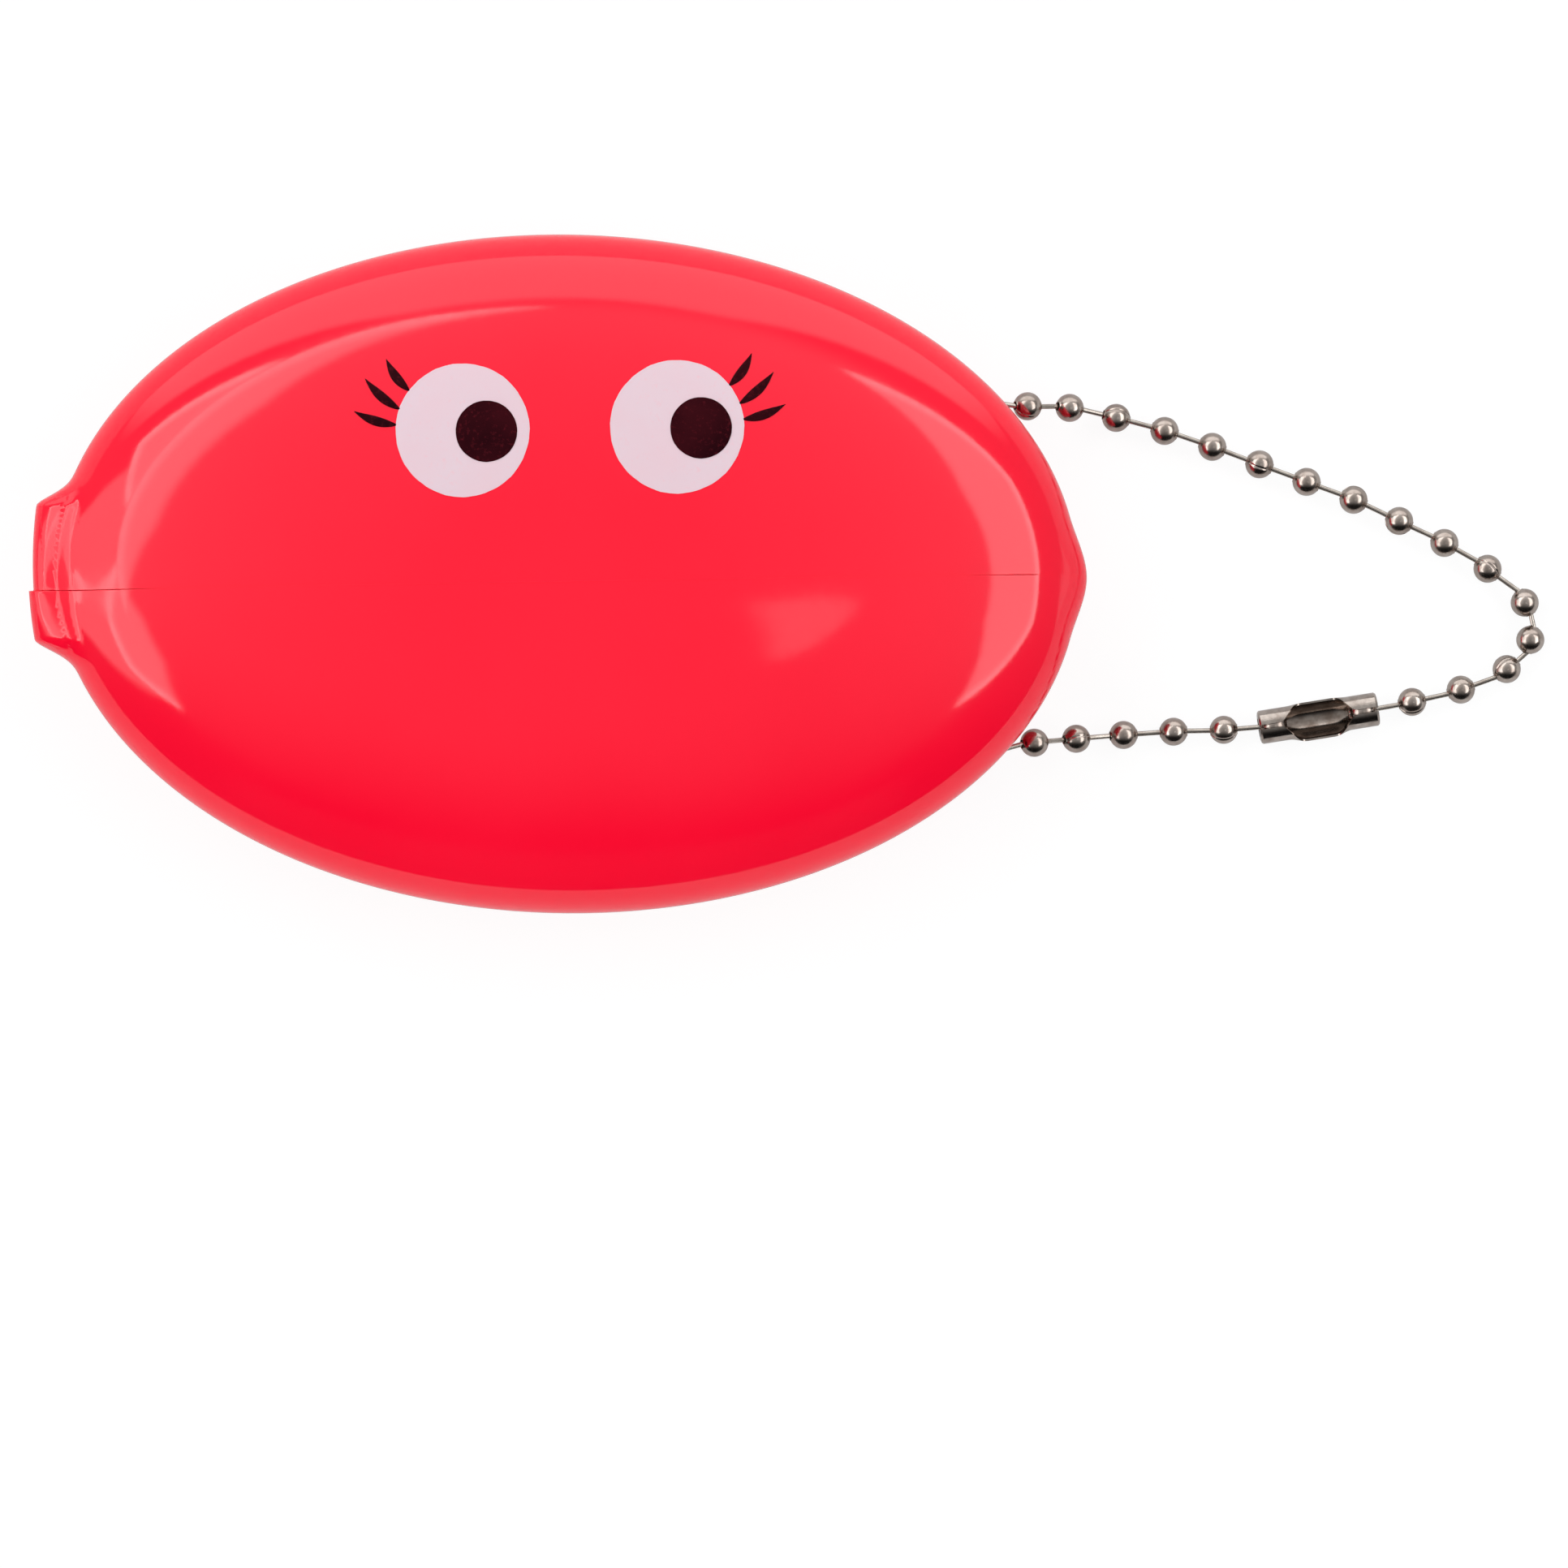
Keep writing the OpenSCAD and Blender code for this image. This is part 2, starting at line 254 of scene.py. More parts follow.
vinylLook = {
    "outside": {"Tone A": (0.98, 0.005, 0.032, 1), "Tone B": (0.97, 0.003, 0.029, 1), "Patch Scale": 45.0,
                "Grain Scale": 1400.0, "Smoothest": 0.06, "Roughest": 0.10},
    "inside": {"Tone A": (0.82, 0.008, 0.032, 1), "Tone B": (0.97, 0.003, 0.029, 1), "Patch Scale": 90.0,
               "Grain Scale": 2200.0, "Smoothest": 0.3, "Roughest": 0.45},
    "shader": {"IOR": 1.5},
    "outsideRelief": {"strength": 0.12, "depth": 0.01}, "insideRelief": {"strength": 0.3, "depth": 0.02},
}
vinyl = groupMaterial("vinyl", surfaceGroup, vinylLook["outside"], vinylLook["shader"],
                      vinylLook["outsideRelief"])
vinylInside = groupMaterial("vinylInside", surfaceGroup, vinylLook["inside"], vinylLook["shader"],
                            vinylLook["insideRelief"])

inkLook = {
    "white": {"Ink": (0.75, 0.59, 0.655, 1), "Under": (0.95, 0.30, 0.36, 1), "Thin": 0.22,
              "Grain Scale": 2400.0},
    "whiteShader": {"Roughness": 0.34, "IOR": 1.45},
    "black": {"Ink": (0.018, 0.0014, 0.0036, 1), "Under": (0.24, 0.018, 0.03, 1), "Thin": 0.34,
              "Grain Scale": 2900.0},
    "blackShader": {"Roughness": 0.38, "IOR": 1.45, "Specular IOR Level": 0.03},
    "relief": {"strength": 0.25, "depth": 0.01},
}
whiteInk = groupMaterial("whiteInk", inkGroup, inkLook["white"], inkLook["whiteShader"], inkLook["relief"])
blackInk = groupMaterial("blackInk", inkGroup, inkLook["black"], inkLook["blackShader"], inkLook["relief"])

metalLook = {
    "bead": {"Plate": (0.47, 0.41, 0.37, 1), "Tarnish": (0.33, 0.27, 0.235, 1),
             "Smoothest": 0.16, "Roughest": 0.26},
    "link": {"Plate": (0.56, 0.51, 0.46, 1), "Tarnish": (0.38, 0.33, 0.29, 1),
             "Smoothest": 0.2, "Roughest": 0.34},
    "connector": {"Plate": (0.46, 0.41, 0.37, 1), "Tarnish": (0.30, 0.25, 0.22, 1),
                  "Smoothest": 0.12, "Roughest": 0.24},
    # the sleeve's inside: plate and tarnish both darker than outside, as painted shade in the sleeve's
    # hollow
    "connectorPaintedShadeInside": {"Plate": (0.42, 0.36, 0.32, 1), "Tarnish": (0.22, 0.17, 0.14, 1),
                        "Smoothest": 0.1, "Roughest": 0.2},
    "shader": {"Metallic": 1.0},
    "beadRelief": {"strength": 0.15, "depth": 0.01}, "relief": {"strength": 0.2, "depth": 0.01},
}


def metalMaterial(name, finish, relief):
    return groupMaterial(name, metalGroup, metalLook[finish], metalLook["shader"], metalLook[relief])


beadMetal = metalMaterial("beadMetal", "bead", "beadRelief")
linkMetal = metalMaterial("linkMetal", "link", "relief")
connectorMetal = metalMaterial("connectorMetal", "connector", "relief")
# a darker metal for the sleeve's inner sheet: painted shade inside the sleeve, with tarnish patches as
# elsewhere
connectorPaintedShadeInside = metalMaterial("connectorPaintedShadeInside", "connectorPaintedShadeInside", "relief")
print("Materials made")


def makePiece(name, points, faces, materials, faceMaterials=None):
    mesh = bpy.data.meshes.new(name)
    mesh.from_pydata([tuple(p) for p in np.asarray(points) * mm], [], faces)
    for material in materials:
        mesh.materials.append(material)
    if faceMaterials:
        mesh.polygons.foreach_set("material_index", faceMaterials)
    piece = bpy.data.objects.new(name, mesh)
    bpy.context.scene.collection.objects.link(piece)
    return piece


def cleanMesh(piece, weld):
    work = bmesh.new()
    work.from_mesh(piece.data)
    bmesh.ops.remove_doubles(work, verts=work.verts, dist=weld * mm)
    bmesh.ops.recalc_face_normals(work, faces=work.faces)
    work.to_mesh(piece.data)
    work.free()


# The moulding's form: an oval with two domes, a tab at one end of the slit and a point at the other

purse = {
    "tall": 19.0, "rimHeight": 9.0, "belly": 0.6, "wall": 1.5,
    "faceRound": (2.6, 2.2), "backRound": (3.2, 2.6),
    "lowerRound": 2.7,       # the lower lip is the fuller one of the two
    "domeScale": 0.055,      # turns the domes' formula into roughly millimetres
    "tabOut": 1.8, "tabWidth": 11.25, "tabFillet": 3.4, "tabY": -0.8, "tabFade": 0.955,
    # how far the lower lip's end stands out past the middle, and the upper one's back
    "tabStep": 0.2,
    "tabUneven": 0.18,       # and how much narrower than half the tab it is
    # per millimetre from the tab's middle: straightens its end, which the oval would round
    "tabSquare": 0.016,
    "neckRise": 3.7, "neckFrom": 0.955, "neckFall": 0.45, "neckEnd": 9,
    "neckHalf": (6.8, 6.4),  # upper and lower lip: the wider, the flatter the neck's ridge across
    "neckScale": 0.7, "neckBlend": 2.0,
    "neckReach": 0.8,        # the neck stays beyond this share of the oval's half length
    "tipOut": 0.7, "tipReach": 5.2, "tipY": 0.4, "tipFade": 0.955, "tipCurve": 2.5,
    "slitY": -0.8, "slitSlant": 1.84, "slitEnd": 40.1,
    "lipGap": 0.015, "lipEdge": 0.06,
    # pressed tight together in the middle: up to how far out, over what length it opens, and what is left
    "tightHalf": 33, "tightFade": 5, "tightShare": 0.06,
    "openFade": 0.8,         # over this length the gap and the lips' edges run out at both ends
    "wave": 0.0022,          # hand-made unevenness of the mould, as a share of the dome's height
    "columns": 220, "faceRows": 46, "backRows": 28, "flatRings": 6, "crowding": 0.244,
}
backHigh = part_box("back_shell")[1]
semi = np.array([backHigh.x / mm - purse["tipOut"], backHigh.y / mm])
slitMid = np.array([0.0, purse["slitY"]])
backMid = np.array([0.0, 0.0])
slant = math.radians(purse["slitSlant"])
slitAlong = np.array([math.cos(slant), math.sin(slant)])
slitAcross = np.array([-slitAlong[1], slitAlong[0]])


def shareOf(plan, pole):
    # 0 at the pole, 1 on the oval
    away = (plan - pole) / semi
    middle = pole / semi
    lean = away @ middle
    square = (away * away).sum(axis=-1)
    root = np.sqrt(lean * lean + square * (1 - middle @ middle))
    return square / np.maximum(root - lean, 1e-9)


def endBump(rim, side):
    beyond = rim[..., 1] - purse["slitY"] - rim[..., 0] * slitAlong[1]
    step = np.clip(beyond / 0.5, -1, 1) if side == 0 else side
    apart = np.abs(rim[..., 1] - purse["tabY"])
    reach = (purse["tabWidth"] / 2 + purse["tabUneven"] * step - apart) / purse["tabFillet"] + 1
    out = purse["tabStep"] * step - purse["tabOut"] - purse["tabSquare"] * apart ** 2
    tab = out * smooth(np.clip(reach, 0, 1) ** 2)
    tip = purse["tipOut"] * smooth(1 - np.abs(rim[..., 1] - purse["tipY"]) / purse["tipReach"])
    return np.where(rim[..., 0] > 0, tip, tab)


def standOut(plan, side):
    pole = backMid if side == 0 else slitMid
    share = shareOf(plan, pole)
    rim = pole + (plan - pole) / np.maximum(share, 1e-6)[..., None]
    tip = np.clip((share - purse["tipFade"]) / (1 - purse["tipFade"]), 0, 2) ** purse["tipCurve"]
    tab = smooth((share - purse["tabFade"]) / (1 - purse["tabFade"]))
    return share * np.where(rim[..., 0] > 0, tip, tab) * endBump(rim, side)


def unevenness(plan):
    x, y = plan[..., 0], plan[..., 1]
    broad = np.sin(x / 5.3 + y / 9.1) * np.sin(y / 4.7 - x / 14.0)
    return purse["wave"] * (broad + 0.6 * np.sin(x / 2.9 + 1.0) * np.sin(y / 6.1))


def formValue(plan, height, side):
    # roughly the distance from the surface in millimetres, below zero inside
    rise = np.abs(height - purse["rimHeight"])
    if side == 0:
        first, second = purse["backRound"]
        deep = purse["rimHeight"] + purse["belly"]
        return (shareOf(plan, backMid) ** first + (rise / deep) ** second - 1) / purse["domeScale"]
    first, second = purse["faceRound"]
    first = first if side > 0 else purse["lowerRound"]
    share = shareOf(plan, slitMid)
    tall = (purse["tall"] - purse["rimHeight"]) * (1 - unevenness(plan))
    dome = (share ** first + (rise / tall) ** second - 1) / purse["domeScale"]
    # the neck behind the tab: a low crowned ridge that runs out of the dome
    apart = np.abs(plan[..., 1] - purse["tabY"])
    along = np.clip((share - purse["neckFrom"]) / (1 - purse["neckFrom"]), 0, 2)
    fall = purse["neckFall"] * along + (1 - purse["neckFall"]) * along ** purse["neckEnd"]
    half = purse["neckHalf"][0 if side > 0 else 1]
    neck = ((apart / half) ** 2 + (rise / purse["neckRise"]) ** 2 + fall - 1) / purse["neckScale"]
    farOff = 9.0
    neck = np.where(plan[..., 0] < purse["neckReach"] * -semi[0], neck, farOff)
    choice = np.clip(0.5 + 0.5 * (neck - dome) / purse["neckBlend"], 0, 1)
    return neck + (dome - neck) * choice - purse["neckBlend"] * choice * (1 - choice)


def faceHeight(plan, side):
    low = np.full(plan.shape[:-1], purse["rimHeight"])
    high = np.full(plan.shape[:-1], 1.05 * purse["tall"])
    for _ in range(32):
        middle = (low + high) / 2
        inside = formValue(plan, middle, side) < 0
        low, high = np.where(inside, middle, low), np.where(inside, high, middle)
    return (low + high) / 2


def outwards(plan, height, side):
    # the form's normal at a point given by its place before the tab and the point are pulled out
    step = 0.01
    dx, dy = np.array([step, 0.0]), np.array([0.0, step])
    byX = formValue(plan + dx, height, side) - formValue(plan - dx, height, side)
    byY = formValue(plan + dy, height, side) - formValue(plan - dy, height, side)
    byZ = formValue(plan, height + step, side) - formValue(plan, height - step, side)
    stretchX = 1 + (standOut(plan + dx, side) - standOut(plan - dx, side)) / (2 * step)
    stretchY = (standOut(plan + dy, side) - standOut(plan - dy, side)) / (2 * step)
    normal = np.stack([byX / stretchX, byY - stretchY * byX / stretchX, byZ], axis=-1)
    return normal / np.linalg.norm(normal, axis=-1, keepdims=True)


def normalsAt(points, side):
    plan = points[..., :2].copy()
    for _ in range(24):
        plan[..., 0] = points[..., 0] - standOut(plan, side)
    return outwards(plan, points[..., 2], side)


def onFace(plan, side, height=None):
    height = faceHeight(plan, side) if height is None else height
    return np.stack([plan[..., 0] + standOut(plan, side), plan[..., 1], height], axis=-1)


def slitLine():
    # where the slit's line meets the oval, as distances from the middle of the slit
    a = ((slitAlong / semi) ** 2).sum()
    b = (slitAlong * slitMid / semi ** 2).sum()
    c = ((slitMid / semi) ** 2).sum() - 1
    root = math.sqrt(b * b - a * c)
    return (-b + root) / a, (-b - root) / a


def columnTurns(side):
    # the angles of the oval's points for one lip, closer together at the two ends
    right, left = slitLine()
    turns = []
    for reach in (right, left):
        x, y = (slitMid + reach * slitAlong) / semi
        turns.append(math.atan2(y, x) % (2 * math.pi))
    first = turns[0] - 2 * math.pi if turns[0] > math.pi else turns[0]
    last = turns[1] if side > 0 else turns[1] - 2 * math.pi
    even = np.linspace(0, math.pi, purse["columns"] + 1)
    crowded = even - purse["crowding"] * np.sin(2 * even)
    return first + (last - first) * crowded / math.pi, crowded


def ovalAt(turns):
    return np.stack([semi[0] * np.cos(turns), semi[1] * np.sin(turns)], axis=-1)


def gridFaces(rows, columns, start, closed=False):
    wrap = columns if closed else columns - 1
    return [(start + i * columns + j, start + i * columns + (j + 1) % columns,
             start + (i + 1) * columns + (j + 1) % columns, start + (i + 1) * columns + j)
            for i in range(rows - 1) for j in range(wrap)]


def shadeByForm(piece, side):
    # the outer surface takes its normals from the form itself, so the skins meet without a seam
    mesh = piece.data
    mesh.shade_smooth()
    mesh.set_sharp_from_angle(angle=math.radians(38))
    count = len(mesh.vertices)
    points = np.zeros(count * 3)
    mesh.vertices.foreach_get("co", points)
    points = points.reshape(-1, 3) / mm
    exact = normalsAt(points, side)
    if side == 0:
        exact[points[:, 2] < 0.01] = (0, 0, -1)
    corners = np.zeros((len(mesh.loops), 3))
    for polygon in mesh.polygons:
        normal = np.array(polygon.normal)
        for loop in polygon.loop_indices:
            vertex = mesh.loops[loop].vertex_index
            if polygon.material_index == 0 and normal @ exact[vertex] > 0.95:
                corners[loop] = exact[vertex]
    mesh.normals_split_custom_set([tuple(c) for c in corners])


def bendWithLip(piece):
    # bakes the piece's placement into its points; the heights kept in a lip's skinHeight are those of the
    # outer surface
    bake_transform(piece)


def lipSkin(name, side, node):
    turns, crowded = columnTurns(side)
    right, left = slitLine()
    places = (right + left) / 2 + (right - left) / 2 * np.cos(crowded)
    slit = slitMid + places[:, None] * slitAlong
    rim = ovalAt(turns)
    chord = np.linalg.norm(rim - slit, axis=1)
    opened = smooth(chord / purse["openFade"])
    opened = opened * smooth((purse["slitEnd"] - slit[:, 0]) / purse["openFade"])
    loose = smooth((np.abs(slit[:, 0]) - purse["tightHalf"]) / purse["tightFade"])
    opened *= purse["tightShare"] + (1 - purse["tightShare"]) * loose
    across = side * slitAcross
    gap, edge = purse["lipGap"] * opened, purse["lipEdge"] * opened

    outer, heights = [], []
    for angle in (0, 30, 60):
        a = math.radians(angle)
        plan = slit + (gap + edge * (1 - math.cos(a)))[:, None] * across
        surface = onFace(plan, side)
        drop = (edge * (1 - math.sin(a)))[:, None]
        outer.append(surface - drop * outwards(plan, surface[:, 2], side))
        heights.append(surface[:, 2])
    brow = slit + (gap + edge)[:, None] * across
    inner = []
    count = purse["faceRows"]
    end = faceHeight(rim, side)
    bottom = np.full_like(end, purse["rimHeight"])
    drops = [end, (2 * end + bottom) / 3, (end + 2 * bottom) / 3, bottom]
    for row in range(count + len(drops)):
        share = 1 - max(1 - row / count, 0) ** 2.2
        plan = brow + share * (rim - brow) if row < count else rim
        surface = onFace(plan, side, drops[row - count] if row >= count else None)
        outer.append(surface)
        heights.append(surface[:, 2])
        if row == 0:
            plan = slit + gap[:, None] * across
            surface = onFace(plan, side)
        inner.append(surface - purse["wall"] * outwards(plan, surface[:, 2], side))

    columns = purse["columns"] + 1
    outerRows, innerRows = len(outer), len(inner)
    innerStart = outerRows * columns
    points = np.concatenate(outer + inner)
    skinHeights = np.concatenate(heights + [heights[0]] + heights[4:])
    faces = gridFaces(outerRows, columns, 0)
    outerCount = len(faces)
    faces += [tuple(reversed(f)) for f in gridFaces(innerRows, columns, innerStart)]
    lastOuter, lastInner = (outerRows - 1) * columns, innerStart + (innerRows - 1) * columns
    for j in range(columns - 1):
        faces.append((j + 1, j, innerStart + j, innerStart + j + 1))
        faces.append((lastOuter + j, lastOuter + j + 1, lastInner + j + 1, lastInner + j))
    slots = [0] * outerCount + [1] * (len(faces) - outerCount)
    piece = makePiece(name, points, faces, [vinyl, vinylInside], slots)
    memory = piece.data.attributes.new("skinHeight", "FLOAT", "POINT")
    memory.data.foreach_set("value", skinHeights.astype(np.float32))
    cleanMesh(piece, 0.0005)
    shadeByForm(piece, side)
    heights = np.zeros(len(piece.data.vertices), np.float32)
    piece.data.attributes["skinHeight"].data.foreach_get("value", heights)
    bendWithLip(piece)
    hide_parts(node)
    return piece


def backSkin():
    upper, lower = columnTurns(1)[0], columnTurns(-1)[0]
    turns = np.concatenate([upper, lower[::-1][1:-1] + 2 * math.pi])
    oval = ovalAt(turns)
    first, second = purse["backRound"]
    deep = purse["rimHeight"] + purse["belly"]
    lowest = math.asin((purse["rimHeight"] / deep) ** (second / 2))
    outer, inner = [], []
    for row in range(purse["backRows"] + 1):
        angle = lowest * row / purse["backRows"]
        plan = oval * math.cos(angle) ** (2 / first)
        height = np.full(len(plan), purse["rimHeight"] - deep * math.sin(angle) ** (2 / second))
        surface = onFace(plan, 0, height)
        outer.append(surface)
        inner.append(surface - purse["wall"] * outwards(plan, height, 0))
    flat = purse["flatRings"]   # on the flat that the purse rests on
    for row in range(1, flat):
        level = outer[purse["backRows"]] * (1 - row / flat)
        outer.append(level * (1, 1, 0))
        inner.append(level * (1, 1, 0) + (0, 0, purse["wall"]))
    columns, rows = len(turns), len(outer)
    points = np.concatenate(outer + inner + [np.array([[0, 0, 0], [0, 0, purse["wall"]]])])
    innerStart = rows * columns
    middle = 2 * rows * columns
    faces = gridFaces(rows, columns, 0, closed=True)
    last = (rows - 1) * columns
    faces += [(last + j, last + (j + 1) % columns, middle) for j in range(columns)]
    outerCount = len(faces)
    faces += [tuple(reversed(f)) for f in gridFaces(rows, columns, innerStart, closed=True)]
    last += innerStart
    faces += [(last + (j + 1) % columns, last + j, middle + 1) for j in range(columns)]
    faces += [((j + 1) % columns, j, innerStart + j, innerStart + (j + 1) % columns)
              for j in range(columns)]
    slots = [0] * outerCount + [1] * (len(faces) - outerCount)
    piece = makePiece("back_skin", points, faces, [vinyl, vinylInside], slots)
    cleanMesh(piece, 0.0005)
    return piece


# The chain: where its beads are comes from the frame

chain = {
    "beadRadius": 1.2, "beadWall": 0.12, "holeRadius": 0.36, "holeLip": 0.09,
    "seamWidth": 0.045, "seamDepth": 0.05,   # the joint of the rolled sheet, in radians and in millimetres
    "pivotRadius": 1.1, "headBack": 0.66, "headRadius": 0.38, "neckRadius": 0.22,
    "innerLinks": 9, "innerTilt": 5.0, "pitch": 4.28,
    "wallHole": 1.35,
    "outerRings": 18, "innerRings": 12, "linkSides": 20,
}


def middleOf(node):
    low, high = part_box(node)
    return np.array((low + high) / 2) / mm


def wallBeads():
    low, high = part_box("wall_beads")
    radius = chain["beadRadius"]
    height = (low.z + high.z) / 2 / mm
    return (np.array([low.x / mm + radius, high.y / mm - radius, height]),
            np.array([high.x / mm - radius, low.y / mm + radius, height]))


def strand(letter, first):
    beads = [first]
    while "bead_%s%02d" % (letter, len(beads)) in frame["nodes"]:
        beads.append(middleOf("bead_%s%02d" % (letter, len(beads))))
    return beads


def innerArc(first, last):
    # the chain inside hangs on an arc between the two beads that are held in the wall
    count = chain["innerLinks"]
    span = np.linalg.norm(last - first)
    low, high = 0.01, math.radians(170) / count
    for _ in range(40):
        half = (low + high) / 2
        if math.sin(count * half) / math.sin(half) > span / chain["pitch"]:
            low = half
        else:
            high = half
    radius = chain["pitch"] / 2 / math.sin(half)
    across = unit(last - first)
    tilt = math.radians(chain["innerTilt"])
    down = np.array([-math.cos(tilt), 0, -math.sin(tilt)])
    down = unit(down - (down @ across) * across)
    return [(first + last) / 2 + across * radius * math.sin(half * (2 * i - count))
            + down * radius * (math.cos(half * (2 * i - count)) - math.cos(half * count))
            for i in range(count + 1)]


def through(before, at, after):
    return unit(unit(at - before) + unit(after - at))


def directions(beads, before, after):
    line = [before] + beads + [after]
    return [through(line[i], line[i + 1], line[i + 2]) for i in range(len(beads))]


wallLong, wallShort = wallBeads()
longBeads = strand("a", wallLong)
shortBeads = strand("b", wallShort)
innerBeads = innerArc(wallLong, wallShort)
longWays = directions(longBeads, innerBeads[1], shortBeads[-1])
shortWays = directions(shortBeads, innerBeads[-2], longBeads[-1])
innerWays = [-longWays[0]] + directions(innerBeads[1:-1], innerBeads[0], innerBeads[-1]) + [shortWays[0]]


def turned(way, spin):
    # a frame whose Z is way
    way = unit(np.asarray(way, float))
    side = np.array([-way[1], way[0], 0.0])
    side = unit(side) if np.linalg.norm(side) > 1e-6 else np.array([1.0, 0, 0])
    other = np.cross(way, side)
    return np.stack([math.cos(spin) * side + math.sin(spin) * other,
                     math.cos(spin) * other - math.sin(spin) * side, way])


def beadShape():
    # the profile runs from the inside, round the rolled edge of a hole, over the ball to the other hole
    radius, hole, lip = chain["beadRadius"], chain["holeRadius"], chain["holeLip"]
    start = math.asin((hole + lip) / radius)
    edge = radius * math.cos(start)
    under = edge - chain["beadWall"]
    profile = [(hole + lip, under - 0.04), (hole + 0.7 * lip, under + 0.03)]
    for angle in (200, 150, 110):
        a = math.radians(angle)
        profile.append((hole + lip + lip * math.cos(a), edge + 0.6 * lip * math.sin(a)))
    steps = chain["outerRings"]
    profile += [(radius * math.sin(start + (math.pi - 2 * start) * i / steps),
                 radius * math.cos(start + (math.pi - 2 * start) * i / steps)) for i in range(steps + 1)]
    profile += [(r, -z) for r, z in reversed(profile[:5])]
    inside = radius - chain["beadWall"]
    low = math.asin((hole + lip) / inside)
    steps = chain["innerRings"]
    profile += [(inside * math.sin(math.pi - low - (math.pi - 2 * low) * i / steps),
                 inside * math.cos(math.pi - low - (math.pi - 2 * low) * i / steps))
                for i in range(1, steps)]
    width = chain["seamWidth"]
    turns = [-1.6 * width, -0.5 * width, 0.5 * width, 1.6 * width]
    turns += list(np.linspace(0.16, 2 * math.pi - 0.16, 34))
    points = []
    for r, z in profile:
        for turn in turns:
            seam = chain["seamDepth"] if abs(turn) < width else 0.0
            shrink = 1 - seam / radius if math.hypot(r, z) > radius * 0.98 else 1.0
            points.append((r * shrink * math.cos(turn), r * shrink * math.sin(turn), z * shrink))
    faces = gridFaces(len(profile), len(turns), 0, closed=True)
    last = (len(profile) - 1) * len(turns)
    count = len(turns)
    faces += [(last + j, last + (j + 1) % count, (j + 1) % count, j) for j in range(count)]
    return np.array(points), faces


def linkShape(length):
    # length is from head to head
    head, neck = chain["headRadius"], chain["neckRadius"]
    start = math.asin(neck / head)
    profile = [(head * math.sin(math.radians(a)), -head * math.cos(math.radians(a)))
               for a in (15, 40, 65, 90, 115, 180 - math.degrees(start))]
    profile += [(neck * 1.02, head * 1.1), (neck * 0.96, length * 0.3), (neck * 0.96, length * 0.7)]
    profile += [(neck * 1.02, length - head * 1.1)]
    profile += [(r, length - z) for r, z in reversed(profile[:6])]
    count = chain["linkSides"]
    turns = [2 * math.pi * i / count for i in range(count)]
    points = [(r * math.cos(t), r * math.sin(t), z) for r, z in profile for t in turns]
    points += [(0, 0, -head), (0, 0, length + head)]
    faces = gridFaces(len(profile), count, 0, closed=True)
    last = (len(profile) - 1) * count
    faces += [((j + 1) % count, j, len(points) - 2) for j in range(count)]
    faces += [(last + j, last + (j + 1) % count, len(points) - 1) for j in range(count)]
    return np.array(points), faces


def joinShapes(parts):
    points, faces, start = [], [], 0
    for shape, some in parts:
        points.append(shape)
        faces += [tuple(start + i for i in face) for face in some]
        start += len(shape)
    return np.concatenate(points), faces


ball, ballFaces = beadShape()
goldenTurn = 2.39996   # turns each bead a little further, so that the seams don't line up


def beadAt(at, way, number):
    return ball @ turned(way, number * goldenTurn) + at, ballFaces


def linkBetween(start, startWay, end, endWay):
    a = start + startWay * chain["pivotRadius"]
    b = end - endWay * chain["pivotRadius"]
    way = unit(b - a)
    shape, faces = linkShape(np.linalg.norm(b - a) + 2 * chain["headBack"])
    return shape @ turned(way, 0) + a - way * chain["headBack"], faces


def chainPiece(node, parts, material):
    points, faces = joinShapes(parts)
    piece = makePiece(node + "_metal", points, faces, [material])
    cleanMesh(piece, 0.0005)
    piece.data.shade_smooth()
    piece.data.set_sharp_from_angle(angle=math.radians(50))
    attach(piece, frame["nodes"][node]["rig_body"])
    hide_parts(node)


def buildChain():
    for letter, beads, ways in (("a", longBeads, longWays), ("b", shortBeads, shortWays)):
        for i in range(1, len(beads)):
            spin = i if letter == "a" else i + 30
            bead = beadAt(beads[i], ways[i], spin)
            chainPiece("bead_%s%02d" % (letter, i), [bead], beadMetal)
            link = linkBetween(beads[i - 1], ways[i - 1], beads[i], ways[i])
            chainPiece("link_%s%02d" % (letter, i - 1), [link], linkMetal)
    held = [beadAt(wallLong, longWays[0], 0), beadAt(wallShort, shortWays[0], 30)]
    chainPiece("wall_beads", held, beadMetal)
    count = chain["innerLinks"]
    hidden = [beadAt(innerBeads[i], innerWays[i], 60 + i) for i in range(1, count)]
    chainPiece("inner_beads", hidden, beadMetal)
    links = [linkBetween(innerBeads[i], innerWays[i], innerBeads[i + 1], innerWays[i + 1])
             for i in range(count)]
    chainPiece("inner_links", links, linkMetal)


# The connector: one piece of sheet rolled into a sleeve, with a window on top and flared edges

sleeve = {
    "radius": 1.43, "sheet": 0.16, "endFace": 1.3, "mouth": 0.8,
    "slot": 0.2, "windowFrom": 3.3, "windowTo": 1.35, "openAt": 96.0,
    "flareNear": 0.36, "flareFar": 0.1,      # how far the window's two edges are bent out
    "columns": 60,
}


